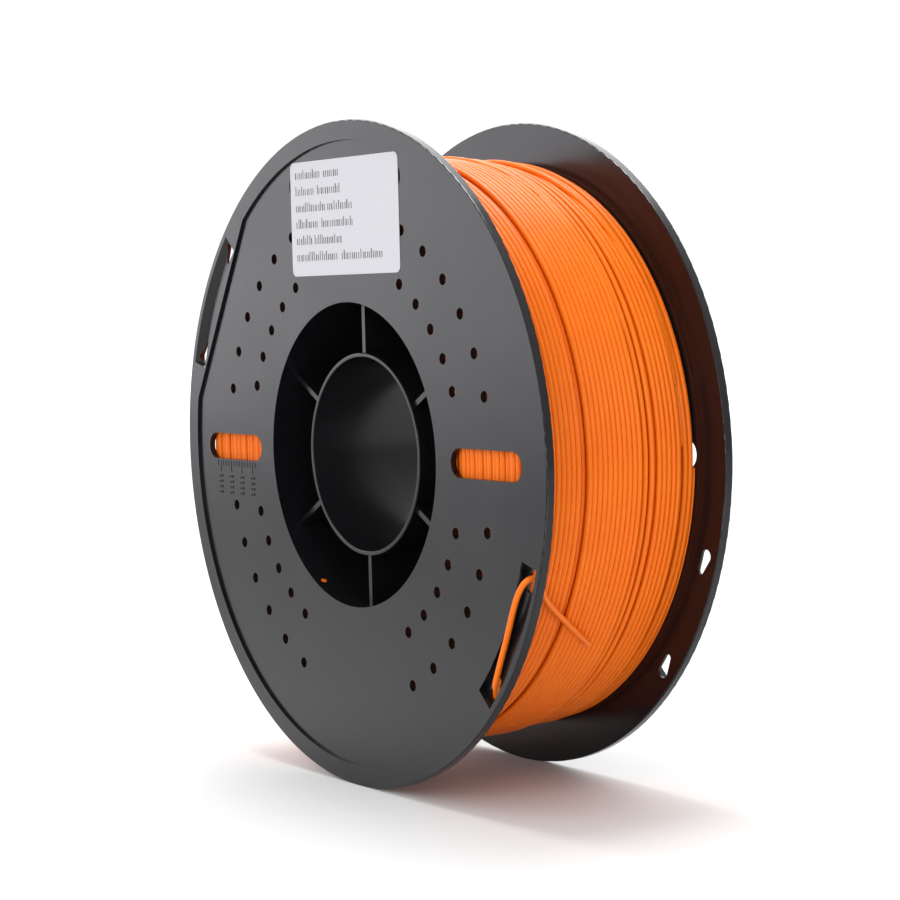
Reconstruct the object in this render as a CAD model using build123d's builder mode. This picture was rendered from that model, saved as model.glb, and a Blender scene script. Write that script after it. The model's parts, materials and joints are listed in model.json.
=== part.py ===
from build123d import *
import os
from math import cos, pi, radians, sin, sqrt, tan

# A spool of 1.75 mm filament for a 3D printer. Millimetres, +Z up, the spool's axis along Y,
# the labelled front flange towards -Y, and the origin at the middle of the bore.
# Angles are measured in the XZ plane from +X towards +Z, as seen from the front.

# Flanges
FLANGE_RADIUS = 100.0
SPOOL_WIDTH = 65.3
FLANGE_THICKNESS = 2.8
RIM_ROUNDING = 0.4
FACE_RECESS = 0.9
RECESS_RADIUS = 94.1
RECESS_FLAT_DISTANCE = 88.1
RECESS_CORNER_RADIUS = 3.0

# Hub
HUB_OPENING_RADIUS = 45.9
DRUM_WALL = 2.0
COLLAR_LENGTH = 15.0
BORE_RADIUS = 29.3
BORE_WALL = 1.3
BORE_SETBACK = 5.5
BORE_EDGE_ROUNDING = 0.3
RIB_COUNT = 6
RIB_FIRST_ANGLE = 30.0
RIB_THICKNESS = 1.6
RIB_SETBACK = 6.8

# Clip pockets, two on each flange, where the filament's end is held
POCKET_ANGLES = (150.0, -30.0)
POCKET_HALF_ANGLE = 13.8
POCKET_INNER_RADIUS = 91.2
POCKET_OUTER_RADIUS = 98.1
POCKET_FLOOR_OUTER_RADIUS = 96.2
POCKET_DEPTH = 2.0
CLIP_SLOT_DISTANCE = 93.0
CLIP_SLOT_WIDE_RADIUS = 1.9
CLIP_SLOT_NARROW_RADIUS = 1.1
CLIP_SLOT_WIDE_OFFSET = 20.4
CLIP_SLOT_NARROW_OFFSET = 15.5

# Windows and holes
WINDOW_CENTRE_RADIUS = 70.4
WINDOW_LENGTH = 34.0
WINDOW_WIDTH = 8.4
HOLE_RADIUS = 1.65
HOLE_RING_RADII = (73.0, 58.5)
HOLE_RING_ANGLES = ((15, 25, 35, 45, 55, 65), (20, 30, 40, 50, 60))

# Label
LABEL_WIDTH = 60.5
LABEL_HEIGHT = 34.8
LABEL_THICKNESS = 0.15
LABEL_CORNER_RADIUS = 2.0
LABEL_CENTRE_Z = 71.5
LABEL_STRIP_WIDTH = 62.4
LABEL_STRIP_HEIGHT = 7.5
LABEL_STRIP_CORNER_RADIUS = 3.4
LABEL_STRIP_CENTRE_Z = 81.7
LABEL_STRIP_DEPTH = 1.1

# Filament
FILAMENT_DIAMETER = 1.75
WINDING_CLEARANCE = 0.1
WINDING_FRONT_RADIUS = 88.6
WINDING_MIDDLE_RADIUS = 88.1
WINDING_BACK_RADIUS = 87.0
WINDING_SHOULDER_RADIUS = 0.8
ANCHOR_ANGLE = 240.5
ANCHOR_HOLE_RADIUS = 1.1
ANCHOR_Y = -28.6

# The tail's route: it leaves the winding behind the front flange, comes forward through the
# lower clip slot, bows up the pocket, goes back through the upper slot and ends on the winding.
TAIL_ROUTE = [
    (35.0, -28.85, -82.4),
    (42.3, -28.8, -79.5),
    (49.6, -28.75, -76.3),
    (56.2, -28.75, -73.0),
    (61.9, -28.7, -69.8),
    (66.8, -28.7, -66.6),
    (69.4, -29.0, -64.6),
    (70.9, -30.4, -63.0),
    (72.0, -31.5, -61.2),
    (73.9, -31.75, -57.7),
    (76.0, -31.9, -53.4),
    (78.6, -32.2, -48.7),
    (81.3, -32.7, -43.9),
    (83.8, -33.2, -39.4),
    (86.1, -33.35, -35.1),
    (87.9, -33.05, -32.2),
    (89.2, -32.0, -30.4),
    (89.5, -30.2, -29.9),
    (89.0, -28.5, -30.6),
    (87.7, -26.7, -32.2),
    (86.0, -24.9, -34.2),
    (83.7, -22.0, -37.3),
    (80.1, -15.2, -42.1),
    (76.2, -6.9, -47.7),
    (72.2, 1.2, -52.9),
]
ARC_SHARE_OF_RUN = 0.45

half_width = SPOOL_WIDTH / 2
inner_face = half_width - FLANGE_THICKNESS
recessed_face = half_width - FACE_RECESS
pocket_floor = half_width - POCKET_DEPTH
drum_outer_radius = HUB_OPENING_RADIUS + DRUM_WALL
bore_outer_radius = BORE_RADIUS + BORE_WALL
seam_y = COLLAR_LENGTH - half_width
filament_radius = FILAMENT_DIAMETER / 2

os.makedirs("parts", exist_ok=True)


def save(piece, name):
    """Label one finished piece and write its STEP file."""
    piece.part.label = name
    export_step(piece.part, f"parts/{name}.step")


def facing_front(y):
    """A sketch plane across the spool's axis at y, facing -Y, with local x along +X and y along +Z."""
    return Plane.XZ.offset(-y)


def through_axis(angle):
    """The plane that holds the spool's axis at one angle: local x is the radius, local y is +Y."""
    outward = Vector(cos(radians(angle)), 0, sin(radians(angle)))
    return Plane(origin=(0, 0, 0), x_dir=outward, z_dir=outward.cross(Vector(0, 1, 0)))


def across_hub_wall(radius):
    """The plane that faces outward at the anchor hole, at one radius: local y is +Y."""
    outward = Vector(cos(radians(ANCHOR_ANGLE)), 0, sin(radians(ANCHOR_ANGLE)))
    return Plane(origin=outward * radius, x_dir=Vector(0, 1, 0).cross(outward), z_dir=outward)


def ring(outer_radius, inner_radius, front_y, back_y):
    """A round tube along Y, added to the part being built."""
    with BuildSketch(facing_front(back_y)) as section:
        Circle(outer_radius)
        Circle(inner_radius, mode=Mode.SUBTRACT)
    extrude(section.sketch, amount=back_y - front_y)


# The shape that both flanges share, in the front flange's place
with BuildPart() as flange_moulding:
    ring(FLANGE_RADIUS, HUB_OPENING_RADIUS, -half_width, -inner_face)
    rim_edges = flange_moulding.edges().filter_by(GeomType.CIRCLE).group_by(SortBy.RADIUS)[-1]
    fillet(rim_edges, RIM_ROUNDING)

    # The recessed face is a circle with one flat beside each clip pocket
    with BuildSketch(facing_front(-recessed_face)) as recess:
        Circle(RECESS_RADIUS)
        with Locations(Rotation(0, 0, POCKET_ANGLES[1])):
            Rectangle(2 * RECESS_FLAT_DISTANCE, 2 * RECESS_RADIUS, mode=Mode.INTERSECT)
        fillet(recess.vertices(), RECESS_CORNER_RADIUS)
    extrude(amount=FACE_RECESS, mode=Mode.SUBTRACT)

    # Each clip pocket is an arc with a sloped outer wall
    for pocket_angle in POCKET_ANGLES:
        with BuildSketch(through_axis(pocket_angle + POCKET_HALF_ANGLE)):
            with BuildLine():
                Polyline(
                    (POCKET_INNER_RADIUS, -pocket_floor),
                    (POCKET_FLOOR_OUTER_RADIUS, -pocket_floor),
                    (POCKET_OUTER_RADIUS, -half_width),
                    (POCKET_INNER_RADIUS, -half_width),
                    close=True,
                )
            make_face()
        revolve(axis=Axis.Y, revolution_arc=2 * POCKET_HALF_ANGLE, mode=Mode.SUBTRACT)

    # A tapered slot near each end of each pocket, its wide end towards the pocket's end
    for pocket_angle in POCKET_ANGLES:
        for side in (-1, 1):
            with BuildSketch(facing_front(-inner_face)):
                with PolarLocations(CLIP_SLOT_DISTANCE, 1, start_angle=pocket_angle):
                    with Locations((0, side * CLIP_SLOT_WIDE_OFFSET)):
                        Circle(CLIP_SLOT_WIDE_RADIUS)
                    with Locations((0, side * CLIP_SLOT_NARROW_OFFSET)):
                        Circle(CLIP_SLOT_NARROW_RADIUS)
                make_hull()
            extrude(amount=FLANGE_THICKNESS, mode=Mode.SUBTRACT)

    # Two long radial windows
    with BuildSketch(facing_front(-inner_face)):
        with PolarLocations(WINDOW_CENTRE_RADIUS, 2):
            SlotOverall(WINDOW_LENGTH, WINDOW_WIDTH)
    extrude(amount=FLANGE_THICKNESS, mode=Mode.SUBTRACT)

    # Two arcs of small round holes in each quarter
    with BuildSketch(facing_front(-inner_face)):
        for ring_radius, ring_angles in zip(HOLE_RING_RADII, HOLE_RING_ANGLES):
            for hole_angle in ring_angles:
                for mirrored_angle in (hole_angle, 180 - hole_angle, 180 + hole_angle, -hole_angle):
                    with PolarLocations(ring_radius, 1, start_angle=mirrored_angle):
                        Circle(HOLE_RADIUS)
    extrude(amount=FLANGE_THICKNESS, mode=Mode.SUBTRACT)

with BuildPart() as front_flange:
    add(flange_moulding.part)
    # A shallow strip behind the label, a little wider than the label
    with BuildSketch(facing_front(LABEL_STRIP_DEPTH - recessed_face)):
        with Locations((0, LABEL_STRIP_CENTRE_Z)):
            RectangleRounded(LABEL_STRIP_WIDTH, LABEL_STRIP_HEIGHT, LABEL_STRIP_CORNER_RADIUS)
    extrude(amount=LABEL_STRIP_DEPTH, mode=Mode.SUBTRACT)
save(front_flange, "front_flange")

with BuildPart() as back_flange:
    mirror(flange_moulding.part, about=Plane.XZ)
save(back_flange, "back_flange")

# The hub: a short collar behind the front flange, then the drum of the back moulding
with BuildPart() as hub_collar:
    ring(drum_outer_radius, HUB_OPENING_RADIUS, -inner_face, seam_y)
    with BuildSketch(across_hub_wall(0)):
        with Locations((0, ANCHOR_Y)):
            Circle(ANCHOR_HOLE_RADIUS)
    extrude(amount=FLANGE_RADIUS, mode=Mode.SUBTRACT)
save(hub_collar, "hub_collar")

with BuildPart() as hub_drum:
    ring(drum_outer_radius, HUB_OPENING_RADIUS, seam_y, inner_face)
save(hub_drum, "hub_drum")

with BuildPart() as bore_tube:
    ring(bore_outer_radius, BORE_RADIUS, BORE_SETBACK - half_width, half_width - BORE_SETBACK)
    fillet(bore_tube.edges().filter_by(GeomType.CIRCLE), BORE_EDGE_ROUNDING)
save(bore_tube, "bore_tube")

# Flat ribs from the bore tube out to the drum's round wall, which their corners touch
rib_half_length = half_width - RIB_SETBACK
rib_inner_radius = bore_outer_radius
rib_outer_radius = sqrt(HUB_OPENING_RADIUS**2 - (RIB_THICKNESS / 2) ** 2)
for rib_number in range(RIB_COUNT):
    rib_angle = RIB_FIRST_ANGLE + rib_number * 360 / RIB_COUNT
    with BuildPart() as hub_rib:
        with BuildSketch(through_axis(rib_angle)):
            with Locations(((rib_inner_radius + rib_outer_radius) / 2, 0)):
                Rectangle(rib_outer_radius - rib_inner_radius, 2 * rib_half_length)
        extrude(amount=RIB_THICKNESS / 2, both=True)
    save(hub_rib, f"hub_rib_{rib_number + 1}")

# The winding's outer shape is one closed ring, a little fuller behind the front flange
with BuildPart() as filament_winding:
    winding_front = WINDING_CLEARANCE - inner_face
    winding_back = inner_face - WINDING_CLEARANCE
    with BuildSketch(Plane.XY) as winding_profile:
        with BuildLine():
            Polyline(
                (drum_outer_radius + WINDING_CLEARANCE, winding_front),
                (WINDING_FRONT_RADIUS, winding_front),
                (WINDING_MIDDLE_RADIUS, 0),
                (WINDING_BACK_RADIUS, winding_back),
                (drum_outer_radius + WINDING_CLEARANCE, winding_back),
                close=True,
            )
        make_face()
        outer_corners = winding_profile.vertices().sort_by(Axis.X)[2:].sort_by(Axis.Y)
        fillet([outer_corners[0], outer_corners[-1]], WINDING_SHOULDER_RADIUS)
    revolve(axis=Axis.Y)
save(filament_winding, "filament_winding")

# The start of the filament is poked through the anchor hole, and ends level with the hub's inner wall
with BuildPart() as filament_start_end:
    with BuildSketch(across_hub_wall(HUB_OPENING_RADIUS)):
        with Locations((0, ANCHOR_Y)):
            Circle(filament_radius)
    extrude(amount=DRUM_WALL + WINDING_CLEARANCE)
save(filament_start_end, "filament_start_end")


def route_radii(route):
    """The largest tangent arc at each inner point of a cord's route, from its two runs and its turn."""
    points = [Vector(point) for point in route]
    radii = []
    for before, corner, after in zip(points, points[1:], points[2:]):
        run_in = corner - before
        run_out = after - corner
        shorter_run = min(run_in.length, run_out.length)
        half_turn = radians(run_in.get_angle(run_out)) / 2
        radii.append(ARC_SHARE_OF_RUN * shorter_run / tan(half_turn))
    return radii


tail_radii = route_radii(TAIL_ROUTE)
with BuildPart() as filament_tail:
    with BuildLine() as tail_path:
        FilletPolyline(TAIL_ROUTE, radius=tail_radii)
    with BuildSketch(tail_path.line ^ 0):
        Circle(filament_radius)
    sweep()
save(filament_tail, "filament_tail")

tail_length = tail_path.wire().length
tail_volume_ratio = filament_tail.part.volume / (pi * filament_radius**2 * tail_length)
print("tail radii:", [round(radius, 1) for radius in tail_radii])
print("tail length:", round(tail_length, 2))
print("tail volume over section times length:", round(tail_volume_ratio, 4))

# The label is stuck on the recessed face of the front flange
with BuildPart() as label:
    with BuildSketch(facing_front(-recessed_face)):
        with Locations((0, LABEL_CENTRE_Z)):
            RectangleRounded(LABEL_WIDTH, LABEL_HEIGHT, LABEL_CORNER_RADIUS)
    extrude(amount=LABEL_THICKNESS)
save(label, "label")
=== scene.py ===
import json
import math
import random

import bpy
import numpy as np
from mathutils import Matrix, Vector


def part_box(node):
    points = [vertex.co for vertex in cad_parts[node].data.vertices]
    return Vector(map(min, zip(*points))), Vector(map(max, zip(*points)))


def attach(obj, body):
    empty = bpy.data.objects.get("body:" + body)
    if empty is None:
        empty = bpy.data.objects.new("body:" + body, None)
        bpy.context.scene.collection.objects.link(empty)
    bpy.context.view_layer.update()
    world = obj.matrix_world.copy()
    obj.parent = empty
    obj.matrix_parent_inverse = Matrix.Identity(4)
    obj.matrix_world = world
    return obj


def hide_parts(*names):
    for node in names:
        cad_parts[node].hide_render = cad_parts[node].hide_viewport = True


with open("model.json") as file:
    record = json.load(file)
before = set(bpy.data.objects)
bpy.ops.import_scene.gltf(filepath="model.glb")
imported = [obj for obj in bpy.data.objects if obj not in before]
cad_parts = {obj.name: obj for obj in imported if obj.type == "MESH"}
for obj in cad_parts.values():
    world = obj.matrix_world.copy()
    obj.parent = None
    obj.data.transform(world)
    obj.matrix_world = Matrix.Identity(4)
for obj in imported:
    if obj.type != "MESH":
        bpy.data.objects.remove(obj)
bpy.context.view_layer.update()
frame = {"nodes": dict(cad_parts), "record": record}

# A full spool of orange filament. Metres, +Z up, the spool's axis along Y, the labelled side
# towards -Y. Angles round the axis are measured from +X towards +Z, as seen from the front.

MM = 0.001

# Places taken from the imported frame
FLANGE_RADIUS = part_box("front_flange")[1].x
FRONT_INNER_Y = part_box("front_flange")[1].y
BACK_INNER_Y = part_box("back_flange")[0].y
WINDING_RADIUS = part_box("filament_winding")[1].x
DRUM_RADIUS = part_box("hub_drum")[1].x
LABEL_LOW, LABEL_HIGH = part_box("label")
RECESSED_FACE_Y = LABEL_HIGH.y

FILAMENT_RADIUS = 0.875 * MM
PITCH = 1.75 * MM

# The camera's place round the spool, and how far the spool has rolled from label-upright
CAMERA_AZIMUTH = 55.639
CAMERA_ELEVATION = 5.751
CAMERA_DISTANCE = 0.74381
CAMERA_SHIFT_RIGHT = 0.003704
CAMERA_SHIFT_UP = -0.000251
CAMERA_LENS = 96.704
SPOOL_ROLL = 2.6

# Where the floor starts to fall off to grey, painted shade for the plastic's lower face to reflect,
# outside the camera's view, which way, and how far
PAINTED_FLOOR_SHADE_START = (0.06, -0.18, 0.0)
PAINTED_FLOOR_SHADE_DIRECTION = (-0.405, -0.914, 0.0)
PAINTED_FLOOR_SHADE_LENGTH = 0.40
FLOOR_HALF_SIZE = 6.0

# The surroundings are brightest in this direction, behind the object and above it. Two strengths,
# and how far a direction has to agree with this one, from -1 to 1, for each.
BACKDROP_DIRECTION = (-0.60, 0.42, 0.68)
BACKDROP_DIM, BACKDROP_BRIGHT = 0.45, 1.06
BACKDROP_DIM_UP_TO, BACKDROP_BRIGHT_FROM = -0.5, 0.6

# The mix node's sockets share their names, so its colours go by number
MIX_COLOR_INPUTS = (6, 7)
MIX_COLOR_OUTPUT = 2

# The tail's route, the same points as the CAD tube's
TAIL_ROUTE = [
    (0.0350, -0.02885, -0.0824),
    (0.0423, -0.02880, -0.0795),
    (0.0496, -0.02875, -0.0763),
    (0.0562, -0.02875, -0.0730),
    (0.0619, -0.02870, -0.0698),
    (0.0668, -0.02870, -0.0666),
    (0.0694, -0.02900, -0.0646),
    (0.0709, -0.03040, -0.0630),
    (0.0720, -0.03150, -0.0612),
    (0.0739, -0.03175, -0.0577),
    (0.0760, -0.03190, -0.0534),
    (0.0786, -0.03220, -0.0487),
    (0.0813, -0.03270, -0.0439),
    (0.0838, -0.03320, -0.0394),
    (0.0861, -0.03335, -0.0351),
    (0.0879, -0.03305, -0.0322),
    (0.0892, -0.03200, -0.0304),
    (0.0895, -0.03020, -0.0299),
    (0.0890, -0.02850, -0.0306),
    (0.0877, -0.02670, -0.0322),
    (0.0860, -0.02490, -0.0342),
    (0.0837, -0.02200, -0.0373),
    (0.0801, -0.01520, -0.0421),
    (0.0762, -0.00690, -0.0477),
    (0.0722, 0.00120, -0.0529),
]


# ---------------------------------------------------------------- camera

def add_camera():
    data = bpy.data.cameras.new("camera")
    data.lens = CAMERA_LENS
    data.clip_start = 0.01
    data.clip_end = 30
    camera = bpy.data.objects.new("camera", data)
    roll = Matrix.Rotation(math.radians(SPOOL_ROLL), 4, "Y")
    azimuth = Matrix.Rotation(math.radians(CAMERA_AZIMUTH), 4, "Z")
    tilt = Matrix.Rotation(math.radians(90 - CAMERA_ELEVATION), 4, "X")
    offset = Matrix.Translation((CAMERA_SHIFT_RIGHT, CAMERA_SHIFT_UP, CAMERA_DISTANCE))
    camera.matrix_world = roll @ azimuth @ tilt @ offset
    bpy.context.scene.collection.objects.link(camera)
    bpy.context.scene.camera = camera


# ---------------------------------------------------------------- materials

class Nodes:
    """A small helper for building one material's node tree."""

    def __init__(self, name):
        self.material = bpy.data.materials.new(name)
        self.material.use_nodes = True
        self.tree = self.material.node_tree
        self.shader = next(node for node in self.tree.nodes if node.type == "BSDF_PRINCIPLED")

    def add(self, kind, **settings):
        node = self.tree.nodes.new(kind)
        for name, value in settings.items():
            setattr(node, name, value)
        return node

    def link(self, output, socket):
        self.tree.links.new(output, socket)

    def set(self, **values):
        """Set the shader's own sockets, named with underscores for spaces."""
        for name, value in values.items():
            self.shader.inputs[name.replace("_", " ")].default_value = value

    def position(self):
        return self.add("ShaderNodeNewGeometry").outputs["Position"]

    def noise(self, vector, scale, detail):
        node = self.add("ShaderNodeTexNoise")
        self.link(vector, node.inputs["Vector"])
        node.inputs["Scale"].default_value = scale
        node.inputs["Detail"].default_value = detail
        return node.outputs["Fac"]

    def ramp(self, value, low, high, low_value, high_value):
        """Map a value from one range to another, clamped at both ends."""
        node = self.add("ShaderNodeMapRange", clamp=True)
        self.link(value, node.inputs["Value"])
        node.inputs["From Min"].default_value = low
        node.inputs["From Max"].default_value = high
        node.inputs["To Min"].default_value = low_value
        node.inputs["To Max"].default_value = high_value
        return node.outputs["Result"]

    def mix(self, value, low, high):
        """Blend two colours, each given as its values or as another node's output."""
        node = self.add("ShaderNodeMix", data_type="RGBA")
        self.link(value, node.inputs["Factor"])
        for number, color in zip(MIX_COLOR_INPUTS, (low, high)):
            if isinstance(color, tuple):
                node.inputs[number].default_value = (*color, 1)
            else:
                self.link(color, node.inputs[number])
        return node.outputs[MIX_COLOR_OUTPUT]

    def bump(self, height, distance, normal=None):
        node = self.add("ShaderNodeBump")
        self.link(height, node.inputs["Height"])
        node.inputs["Distance"].default_value = distance
        if normal is not None:
            self.link(normal, node.inputs["Normal"])
        return node.outputs["Normal"]


def moulded_plastic(name):
    """Black satin plastic with a faint mould grain and soft cloudy variation in its gloss."""
    nodes = Nodes(name)
    place = nodes.position()
    clouds = nodes.noise(place, 35.0, detail=4.0)
    grain = nodes.noise(place, 2600.0, detail=2.0)
    waves = nodes.noise(place, 60.0, detail=1.0)
    black = nodes.mix(clouds, (0.0035, 0.0035, 0.0045), (0.006, 0.006, 0.007))
    nodes.link(black, nodes.shader.inputs["Base Color"])
    nodes.link(nodes.ramp(clouds, 0.3, 0.7, 0.20, 0.26), nodes.shader.inputs["Roughness"])
    uneven = nodes.bump(waves, 0.06 * MM)
    nodes.link(nodes.bump(grain, 0.012 * MM, normal=uneven), nodes.shader.inputs["Normal"])
    nodes.set(IOR=1.5, Specular_IOR_Level=0.4, Specular_Tint=(0.97, 0.965, 1.0, 1))
    return nodes.material


def filament_plastic(name, light=(0.83, 0.185, 0.006), deep=(0.77, 0.132, 0.003)):
    """Semi-gloss orange filament: slight colour drift along the strand and a fine drawn surface."""
    nodes = Nodes(name)
    place = nodes.position()
    drift = nodes.noise(place, 55.0, detail=2.0)
    fine = nodes.noise(place, 900.0, detail=2.0)
    nodes.link(nodes.mix(drift, deep, light), nodes.shader.inputs["Base Color"])
    nodes.link(nodes.ramp(fine, 0.3, 0.7, 0.30, 0.40), nodes.shader.inputs["Roughness"])
    nodes.link(nodes.bump(fine, 0.005 * MM), nodes.shader.inputs["Normal"])
    nodes.set(Subsurface_Weight=0.06, Subsurface_Scale=1.5 * MM, Subsurface_Radius=(1.0, 0.35, 0.08))
    nodes.set(Specular_IOR_Level=0.22)
    return nodes.material


def label_paper(name):
    """Smooth white label stock with a very faint fibre."""
    nodes = Nodes(name)
    place = nodes.position()
    fibre = nodes.noise(place, 700.0, detail=4.0)
    white = nodes.mix(fibre, (0.465, 0.46, 0.49), (0.50, 0.495, 0.525))
    nodes.link(white, nodes.shader.inputs["Base Color"])
    nodes.link(nodes.ramp(fibre, 0.3, 0.7, 0.42, 0.52), nodes.shader.inputs["Roughness"])
    nodes.link(nodes.bump(fibre, 0.008 * MM), nodes.shader.inputs["Normal"])
    return nodes.material


def ink_and_painted_shade(name, dark, pale):
    """Printed marks, and moulded marks coloured dark as painted shade, a little uneven in density.
    """
    nodes = Nodes(name)
    density = nodes.noise(nodes.position(), 1500.0, detail=2.0)
    nodes.link(nodes.mix(density, dark, pale), nodes.shader.inputs["Base Color"])
    nodes.link(nodes.ramp(density, 0.3, 0.7, 0.55, 0.65), nodes.shader.inputs["Roughness"])
    nodes.set(Specular_IOR_Level=0.1)
    return nodes.material


def floor_with_painted_shade(name):
    """A pale studio floor, plain but for painted shade: it falls off to grey in front, beyond the
    camera's view, for the plastic to reflect.
    """
    nodes = Nodes(name)
    place = nodes.position()
    speck = nodes.noise(place, 40.0, detail=2.0)
    offset = nodes.add("ShaderNodeVectorMath", operation="SUBTRACT")
    nodes.link(place, offset.inputs[0])
    offset.inputs[1].default_value = PAINTED_FLOOR_SHADE_START
    distance = nodes.add("ShaderNodeVectorMath", operation="DOT_PRODUCT")
    nodes.link(offset.outputs["Vector"], distance.inputs[0])
    distance.inputs[1].default_value = PAINTED_FLOOR_SHADE_DIRECTION
    painted_floor_shade = nodes.ramp(distance.outputs["Value"], 0.0, PAINTED_FLOOR_SHADE_LENGTH, 0.0, 1.0)
    pale = nodes.mix(speck, (0.63, 0.63, 0.63), (0.65, 0.65, 0.65))
    # The grey in front is painted shade, reflected in the plastic's lower faces
    paint = nodes.mix(painted_floor_shade, pale, (0.42, 0.42, 0.42))
    nodes.link(paint, nodes.shader.inputs["Base Color"])
    nodes.set(Roughness=0.9)
    return nodes.material


# ---------------------------------------------------------------- mesh helpers

def mesh_object(name, vertices, faces, material, smooth=True):
    mesh = bpy.data.meshes.new(name)
    mesh.from_pydata([tuple(v) for v in vertices], [], [tuple(f) for f in faces])
    mesh.materials.append(material)
    mesh.polygons.foreach_set("use_smooth", [smooth] * len(mesh.polygons))
    mesh.update()
    piece = bpy.data.objects.new(name, mesh)
    bpy.context.scene.collection.objects.link(piece)
    return piece


def strand_mesh(name, angle, radius, y, material, sides):
    """A filament tube that runs round the spool's axis, from arrays of angle, radius and y."""
    around = np.linspace(0, 2 * math.pi, sides, endpoint=False)
    outward = radius[:, None] + FILAMENT_RADIUS * np.cos(around)
    along_axis = y[:, None] + FILAMENT_RADIUS * np.sin(around)
    x = outward * np.cos(angle)[:, None]
    z = outward * np.sin(angle)[:, None]
    vertices = np.stack([x, along_axis, z], axis=2).reshape(-1, 3)
    row = np.arange(len(angle) - 1)[:, None] * sides
    side = np.arange(sides)
    here = (row + side).ravel()
    beside = (row + (side + 1) % sides).ravel()
    faces = np.stack([here, beside, beside + sides, here + sides], axis=1).tolist()
    faces.append(list(range(sides))[::-1])
    faces.append(list(range(len(vertices) - sides, len(vertices))))
    return mesh_object(name, vertices.tolist(), faces, material)


def wavy(angle, amplitude, rng):
    """A smooth periodic wobble, different for each strand."""
    total = np.zeros_like(angle)
    for wave in (1, 2, 3, 5):
        total += rng.uniform(-1, 1) / wave * np.sin(wave * angle + rng.uniform(0, 2 * math.pi))
    return amplitude * total


def ease(value):
    """Clamp to the range 0 to 1, with a smooth start and end."""
    value = np.clip(value, 0, 1)
    return value * value * (3 - 2 * value)


# ---------------------------------------------------------------- the winding

# The outermost layer's turns in groups, from the front flange: how many turns lie side by side,
# the bare gap after them and the radius of their crests, in millimetres
TURN_GROUPS = (
    (10, 2.05, 88.5),
    (11, 0.85, 88.9),
    (1, 0.85, 88.2),
    (1, 1.15, 88.0),
    (5, 1.50, 87.6),
    (2, 0.00, 86.8),
)
FIRST_TURN_Y = FRONT_INNER_Y + 1.35 * MM
POINTS_PER_TURN = 144
OUTER_SIDES = 12
INNER_SIDES = 8
GROUP_DRIFT = 0.17 * MM
OUTER_WOBBLE = 0.05 * MM
INNER_WOBBLE = 0.04 * MM
SECOND_LAYER_DROP = 1.5 * MM

# Each turn steps over to the next between these two angles, at the foot of the spool
STEP_START = math.radians(200)
STEP_END = math.radians(320)

# Loose strands that lie across the layer: angles in degrees, y and crest radius in millimetres
CROSSING_STRANDS = (
    (
        (150, 128, 106, 84, 62, 40, 18),
        (-9.0, -6.0, -2.0, 2.5, 6.5, 9.4, 11.6),
        (87.2, 89.3, 89.5, 89.5, 89.2, 88.7, 87.6),
    ),
    (
        (98, 84, 70, 56, 42, 28, 12),
        (14.0, 16.2, 18.6, 20.9, 22.8, 24.2, 25.4),
        (86.6, 88.9, 89.0, 88.7, 88.2, 87.6, 86.9),
    ),
    (
        (120, 100, 80, 60, 40, 20, 0),
        (24.4, 24.8, 25.3, 25.6, 25.8, 26.0, 26.2),
        (86.6, 87.8, 88.0, 88.0, 87.6, 86.8, 86.0),
    ),
)
CROSSING_POINTS = 120
CROSSING_SMOOTHING = 25

# The spiral of layer ends beside each flange: in degrees, where each ring starts, and how long
# before that it has begun to climb to the next. Then the choices of how deep a ring is sunk and
# how far apart the rings are, in millimetres.
RING_START = 100
RING_CLIMB = 30
RING_POINTS = 120
RING_SINKS = (0.1, 0.25, 0.5, 0.9)
RING_STEPS = (1.75, 1.9, 2.2, 2.7)
RING_WOBBLE = 0.08 * MM
RING_TOP_DROP = 1.2 * MM

# The solid body under the strands
CORE_CLEARANCE = 0.15 * MM
CORE_DROP = 2.7 * MM
CORE_BACK_DROP = 1.4 * MM
CORE_INSET = 1.9 * MM
CORE_SEGMENTS = 180


def outer_turns():
    """The y, centre radius and group of each turn of the outermost layer."""
    places = []
    y = FIRST_TURN_Y
    for group, (count, gap, crest) in enumerate(TURN_GROUPS):
        for _ in range(count):
            places.append((y, crest * MM - FILAMENT_RADIUS, group))
            y += PITCH
        y += gap * MM
    return places


def helix(places, rng, wobble):
    """Turns joined into one strand: each stays level, then steps over to the next."""
    angle = np.linspace(0, 2 * math.pi, POINTS_PER_TURN, endpoint=False)
    step = ease((angle - STEP_START) / (STEP_END - STEP_START))
    angles, radii, ys = [], [], []
    beyond = (2 * places[-1][0] - places[-2][0], *places[-1][1:])
    pairs = zip(places, places[1:] + [beyond])
    group_drift = [wavy(angle, GROUP_DRIFT, rng) for _ in TURN_GROUPS]
    for turn, ((y, radius, group), (next_y, next_radius, next_group)) in enumerate(pairs):
        drift = group_drift[group] + (group_drift[next_group] - group_drift[group]) * step
        angles.append(angle + 2 * math.pi * turn)
        ys.append(y + (next_y - y) * step + drift + wavy(angle, wobble, rng))
        radii.append(radius + (next_radius - radius) * step + wavy(angle, wobble * 0.5, rng))
    return np.concatenate(angles), np.concatenate(radii), np.concatenate(ys)


def crossing_strand(angle_knots, y_knots, crest_knots):
    """A loose strand as arrays of angle, radius and y, smoothed between its given places."""
    along = np.linspace(0, 1, CROSSING_POINTS)
    knots = np.linspace(0, 1, len(angle_knots))
    kernel = np.hanning(CROSSING_SMOOTHING) / np.hanning(CROSSING_SMOOTHING).sum()
    smooth = []
    for values in (angle_knots, y_knots, crest_knots):
        line = np.pad(np.interp(along, knots, values), CROSSING_SMOOTHING // 2, mode="edge")
        smooth.append(np.convolve(line, kernel, mode="valid"))
    angle, y, crest = smooth
    return np.radians(angle), crest * MM - FILAMENT_RADIUS, y * MM


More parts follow.
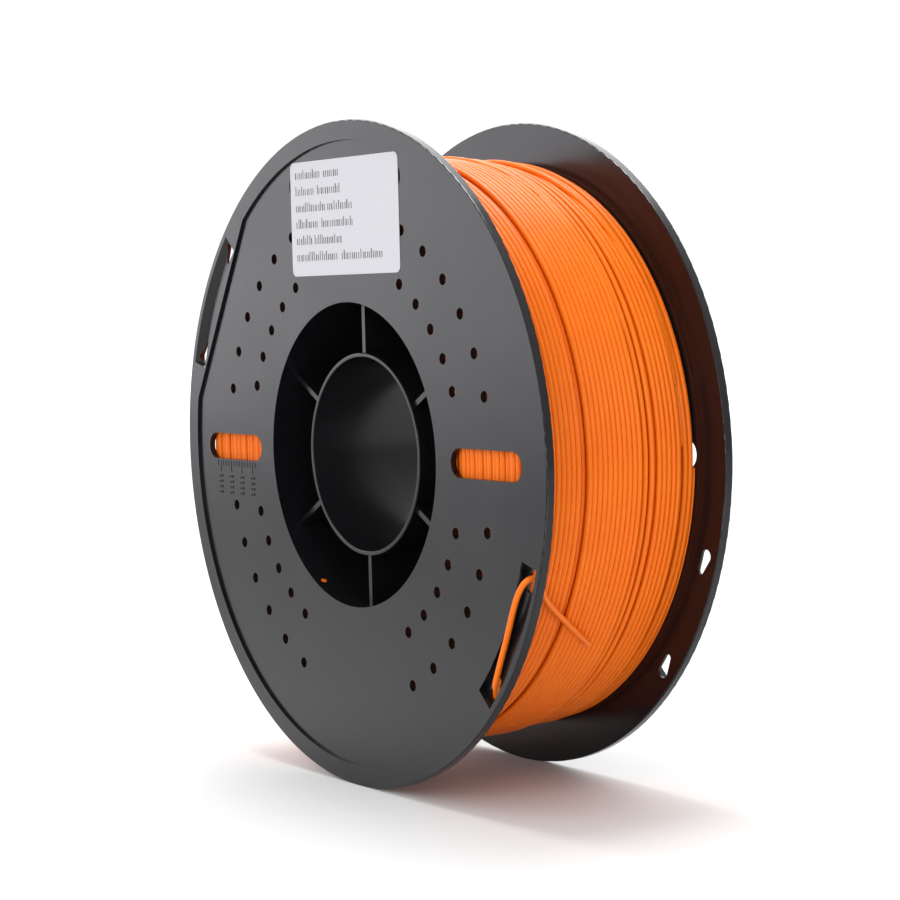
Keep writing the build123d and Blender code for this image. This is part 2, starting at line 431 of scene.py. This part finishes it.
def second_layer_turns(outer):
    """Turns half a pitch over from the outer ones and lower, with no gaps between groups."""
    count = int((BACK_INNER_Y - FRONT_INNER_Y - 2 * MM) / PITCH)
    ys = [FIRST_TURN_Y + (turn + 0.5) * PITCH for turn in range(count)]
    radii = np.interp(ys, [place[0] for place in outer], [place[1] for place in outer])
    return [(y, radius - SECOND_LAYER_DROP, 0) for y, radius in zip(ys, radii)]


def layer_ends(wall_y, inward, top_radius, rng):
    """A spiral flat against one flange, seen through its windows and holes and beside its rim."""
    rings = []
    ring_radius = DRUM_RADIUS + FILAMENT_RADIUS
    while ring_radius < top_radius:
        sunk = rng.choice(RING_SINKS) * MM
        rings.append((ring_radius, wall_y + inward * (FILAMENT_RADIUS + sunk)))
        ring_radius += rng.choice(RING_STEPS) * MM
    start, end = math.radians(RING_START), math.radians(RING_START + 360)
    circle = np.linspace(start, end, RING_POINTS, endpoint=False)
    climb = ease((circle - math.radians(RING_START + 360 - RING_CLIMB)) / math.radians(RING_CLIMB))
    angles, radii, ys = [], [], []
    pairs = zip(rings, rings[1:] + rings[-1:])
    for layer, ((radius, y), (next_radius, next_y)) in enumerate(pairs):
        angles.append(circle + 2 * math.pi * layer)
        radii.append(radius + (next_radius - radius) * climb + wavy(circle, RING_WOBBLE, rng))
        ys.append(y + (next_y - y) * climb)
    return np.concatenate(angles), np.concatenate(radii), np.concatenate(ys)


def winding_core(material):
    """The solid body of the winding under the modelled layers."""
    inner = DRUM_RADIUS + CORE_CLEARANCE
    outer = WINDING_RADIUS - CORE_DROP
    front = FRONT_INNER_Y + CORE_INSET
    back = BACK_INNER_Y - CORE_INSET
    profile = [(inner, front), (outer, front), (outer - CORE_BACK_DROP, back), (inner, back)]
    vertices, faces = [], []
    for segment in range(CORE_SEGMENTS):
        angle = 2 * math.pi * segment / CORE_SEGMENTS
        for radius, y in profile:
            vertices.append((radius * math.cos(angle), y, radius * math.sin(angle)))
        here = 4 * segment
        ahead = 4 * ((segment + 1) % CORE_SEGMENTS)
        for corner in range(4):
            beside = (corner + 1) % 4
            faces.append((here + corner, here + beside, ahead + beside, ahead + corner))
    return mesh_object("winding_core", vertices, faces, material, smooth=False)


def add_winding(material, painted_shade_material):
    rng = random.Random(11)
    outer = outer_turns()
    strand = helix(outer, rng, OUTER_WOBBLE)
    pieces = [strand_mesh("winding_outer_layer", *strand, material, OUTER_SIDES)]
    for number, knots in enumerate(CROSSING_STRANDS, 1):
        strand = crossing_strand(*knots)
        pieces.append(strand_mesh(f"winding_crossing_{number}", *strand, material, OUTER_SIDES))

    # The layer under it shows in the gaps, in the darker orange as painted shade
    strand = helix(second_layer_turns(outer), rng, INNER_WOBBLE)
    pieces.append(strand_mesh("winding_second_layer", *strand, painted_shade_material, INNER_SIDES))

    # The ends of the layers
    walls = (("front", FRONT_INNER_Y, 1, outer[0]), ("back", BACK_INNER_Y, -1, outer[-1]))
    for side, wall_y, inward, nearest_turn in walls:
        strand = layer_ends(wall_y, inward, nearest_turn[1] - RING_TOP_DROP, rng)
        pieces.append(strand_mesh(f"winding_{side}_side", *strand, material, INNER_SIDES))

    # The core takes the darker orange too, painted shade for the body under the strands
    pieces.append(winding_core(painted_shade_material))
    for piece in pieces:
        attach(piece, "root")
        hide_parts("filament_winding")


# ---------------------------------------------------------------- the tail

def add_tail(material):
    curve = bpy.data.curves.new("filament_tail_strand", "CURVE")
    curve.dimensions = "3D"
    curve.bevel_depth = FILAMENT_RADIUS
    curve.bevel_resolution = 5
    curve.resolution_u = 10
    curve.use_fill_caps = True
    spline = curve.splines.new("NURBS")
    spline.points.add(len(TAIL_ROUTE) - 1)
    for point, place in zip(spline.points, TAIL_ROUTE):
        point.co = (*place, 1)
    spline.order_u = 3
    spline.use_endpoint_u = True
    curve.materials.append(material)
    tail = bpy.data.objects.new("filament_tail_strand", curve)
    bpy.context.scene.collection.objects.link(tail)
    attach(tail, "root")
    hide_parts("filament_tail")


# ---------------------------------------------------------------- marks on the front

MARK_THICKNESS = 0.03 * MM

# The label's six lines in millimetres, each as two groups of strokes: where the groups end,
# from the label's left edge. A group gets no new stroke within STROKE_ROOM of its end.
LABEL_LINES = ((19.2, 29.3), (15.4, 30.2), (21.1, 37.0), (17.5, 37.0), (13.2, 31.1), (28.6, 53.0))
LABEL_MARGIN = 3.0
FIRST_LINE_DROP = 5.2
LINE_PITCH = 5.0
STROKE_WIDTHS = (0.35, 0.4, 0.55)
STROKE_HEIGHTS = (1.9, 1.9, 2.0, 2.8)
STROKE_GAPS = (0.55, 0.7, 0.9)
STROKE_ROOM = 1.6
GROUP_SPACE = 0.3
LABEL_PRINT_LIFT = 0.005 * MM

# The scale below the left-hand window, in millimetres: ticks, and below every fourth one rows of
# two dashes. The second dash of a row is taller and a little higher than the first.
TICK_COUNT = 15
TICKS_PER_LONG_TICK = 4
FIRST_TICK_X = -82.0
TICK_PITCH = 1.73
TICK_TOP = -4.7
TICK_WIDTH = 0.45
TICK_LENGTH = 1.8
LONG_TICK_LENGTH = 3.7
DASH_ROWS = 4
DASH_ROW_PITCH = 1.75
FIRST_DASH_DROP = 5.2
DASH_OFFSET = 0.75
DASH_WIDTH = 1.0
DASH_HEIGHT = 0.55
TALL_DASH_HEIGHT = 0.9
TALL_DASH_LIFT = 0.1


def bars_object(name, bars, y, material):
    """Thin flat bars on a face: each is (x, z, width, height), measured at its centre."""
    vertices, faces = [], []
    for x, z, width, height in bars:
        start = len(vertices)
        for depth in (0, MARK_THICKNESS):
            for sx, sz in ((-1, -1), (1, -1), (1, 1), (-1, 1)):
                vertices.append((x + sx * width / 2, y - depth, z + sz * height / 2))
        faces.append((start + 4, start + 5, start + 6, start + 7))
        for corner in range(4):
            beside = (corner + 1) % 4
            faces.append((start + corner, start + beside, start + 4 + beside, start + 4 + corner))
    piece = mesh_object(name, vertices, faces, material, smooth=False)
    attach(piece, "root")
    return piece


def add_label_print(material):
    """Plain upright strokes stand in for the label's printing."""
    rng = random.Random(5)
    bars = []
    for line, group_ends in enumerate(LABEL_LINES):
        x = LABEL_MARGIN
        base = LABEL_HIGH.z - (FIRST_LINE_DROP + LINE_PITCH * line) * MM
        for group_end in group_ends:
            while x < group_end - STROKE_ROOM:
                width = rng.choice(STROKE_WIDTHS)
                tall = rng.choice(STROKE_HEIGHTS) * MM
                bars.append((LABEL_LOW.x + (x + width / 2) * MM, base + tall / 2, width * MM, tall))
                x += width + rng.choice(STROKE_GAPS)
            x = group_end + GROUP_SPACE
    piece = bars_object("label_print", bars, LABEL_LOW.y - LABEL_PRINT_LIFT, material)


def add_tick_scale(material):
    """The small scale below the left-hand window, which shows how much filament is left. Its moulded
    ticks are drawn dark, as painted shade of their relief.
    """
    top = TICK_TOP * MM
    bars = []
    for tick in range(TICK_COUNT):
        x = (FIRST_TICK_X + TICK_PITCH * tick) * MM
        long_tick = tick % TICKS_PER_LONG_TICK == 1
        length = (LONG_TICK_LENGTH if long_tick else TICK_LENGTH) * MM
        bars.append((x, top - length / 2, TICK_WIDTH * MM, length))
        if long_tick:
            for row in range(DASH_ROWS):
                z = top - (FIRST_DASH_DROP + DASH_ROW_PITCH * row) * MM
                lifted = z + TALL_DASH_LIFT * MM
                bars.append((x - DASH_OFFSET * MM, z, DASH_WIDTH * MM, DASH_HEIGHT * MM))
                bars.append((x + DASH_OFFSET * MM, lifted, DASH_WIDTH * MM, TALL_DASH_HEIGHT * MM))
    piece = bars_object("tick_scale", bars, RECESSED_FACE_Y, material)


# ---------------------------------------------------------------- stage and light

def add_stage():
    half = FLOOR_HALF_SIZE
    z = -FLANGE_RADIUS
    corners = [(-half, -half, z), (half, -half, z), (half, half, z), (-half, half, z)]
    floor = mesh_object("floor", corners, [(0, 1, 2, 3)], floor_with_painted_shade("floor_with_painted_shade"), smooth=False)


def add_softbox(name, place, target, width, height, radiance, color=(1, 1, 1)):
    """A rectangular lamp that faces its target, of the same radiance whatever its size."""
    light = bpy.data.lights.new(name, "AREA")
    light.shape = "RECTANGLE"
    light.size = width
    light.size_y = height
    light.energy = radiance * math.pi * width * height
    light.color = color
    lamp = bpy.data.objects.new(name, light)
    lamp.location = place
    lamp.rotation_mode = "QUATERNION"
    lamp.rotation_quaternion = (Vector(target) - Vector(place)).to_track_quat("-Z", "Y")
    lamp.visible_camera = False
    bpy.context.scene.collection.objects.link(lamp)


def add_backdrop():
    """White surroundings, full strength behind the object and dimmer behind the camera."""
    world = bpy.data.worlds.new("studio")
    world.use_nodes = True
    tree = world.node_tree
    direction = tree.nodes.new("ShaderNodeTexCoord").outputs["Generated"]
    facing = tree.nodes.new("ShaderNodeVectorMath")
    facing.operation = "DOT_PRODUCT"
    tree.links.new(direction, facing.inputs[0])
    facing.inputs[1].default_value = BACKDROP_DIRECTION
    strength = tree.nodes.new("ShaderNodeMapRange")
    strength.clamp = True
    tree.links.new(facing.outputs["Value"], strength.inputs["Value"])
    strength.inputs["From Min"].default_value = BACKDROP_DIM_UP_TO
    strength.inputs["From Max"].default_value = BACKDROP_BRIGHT_FROM
    strength.inputs["To Min"].default_value = BACKDROP_DIM
    strength.inputs["To Max"].default_value = BACKDROP_BRIGHT
    background = tree.nodes["Background"]
    background.inputs["Color"].default_value = (1.0, 1.0, 1.0, 1)
    tree.links.new(strength.outputs["Result"], background.inputs["Strength"])
    bpy.context.scene.world = world


def add_light():
    add_backdrop()
    add_softbox(
        "front_softbox",
        place=(-1.15, -0.95, 0.36),
        target=(0, 0, 0.05),
        width=1.2,
        height=0.9,
        radiance=1.9,
        color=(0.97, 0.96, 1.0),
    )
    middle = (0, 0, 0)
    add_softbox("top_softbox", (-0.26, 0.0, 1.2), middle, width=0.5, height=0.5, radiance=13.0)
    add_softbox("fill_softbox", (0.50, -0.90, 0.36), middle, width=0.8, height=0.5, radiance=3.2)
    add_softbox("side_softbox", (1.00, -0.42, 0.20), middle, width=0.7, height=0.45, radiance=2.6)

    # Keeps the far part of the floor white
    add_softbox(
        "floor_softbox",
        place=(-3.2, 3.4, 2.3),
        target=(-3.2, 3.4, -FLANGE_RADIUS),
        width=6.0,
        height=6.0,
        radiance=2.2,
    )


def set_view():
    view = bpy.context.scene.view_settings
    view.view_transform = "Standard"
    view.look = "None"


# ---------------------------------------------------------------- build

add_camera()
set_view()
add_stage()
add_light()

plastic = moulded_plastic("spool_plastic")
orange = filament_plastic("filament_orange")
# A darker copy of the orange: painted shade for filament that lies deep or tucked away
painted_shade_orange = filament_plastic("filament_painted_shade", (0.78, 0.140, 0.004), (0.70, 0.105, 0.003))
paper = label_paper("label_stock")
label_ink = ink_and_painted_shade("label_ink", (0.10, 0.10, 0.11), (0.16, 0.16, 0.17))
# The scale's moulded marks are coloured dark: painted shade standing in for their relief
scale_painted_shade = ink_and_painted_shade("scale_marks_painted_shade", (0.002, 0.002, 0.002), (0.004, 0.004, 0.004))

# Each CAD node gets its slot's material, and the tucked-in start of the filament the duller orange,
# painted shade for its place in the hub's hole
SLOT_MATERIALS = {"spool": plastic, "filament": orange, "label": paper}
for subpart in frame["record"]["subparts"]:
    node = frame["nodes"][subpart["node"]]
    material = SLOT_MATERIALS[subpart["material_slot"]]
    if subpart["node"] == "filament_start_end":
        material = painted_shade_orange
    node.data.materials.clear()
    node.data.materials.append(material)

add_tail(orange)
add_winding(orange, painted_shade_orange)
add_label_print(label_ink)
add_tick_scale(scale_painted_shade)
